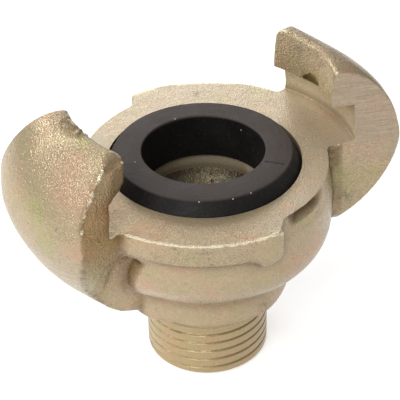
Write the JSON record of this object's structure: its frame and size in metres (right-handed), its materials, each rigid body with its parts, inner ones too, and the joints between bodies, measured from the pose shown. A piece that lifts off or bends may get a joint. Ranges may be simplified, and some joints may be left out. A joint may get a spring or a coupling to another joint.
{
  "type": "claw hose coupling",
  "caption": "Cast claw coupling half with a male pipe thread, hooked claws with slots for the mating half, and a proud rubber seal ring.",
  "frame": {"origin": "middle of the male thread's end face, on which the coupling stands", "axes": "+Z along the bore from the thread to the mating face; +X through the first claw, a little clockwise of its heel; the body repeats itself after half a turn about Z"},
  "size_m": [0.0648, 0.0496, 0.0523],
  "materials": {
    "zinc_plated_cast_iron": "yellow passivated zinc plating, satin",
    "seal_rubber": "matte"
  },
  "bodies": {
    "root": {"coupling_body": "zinc_plated_cast_iron", "seal_ring": "seal_rubber"}
  },
  "joints": []
}
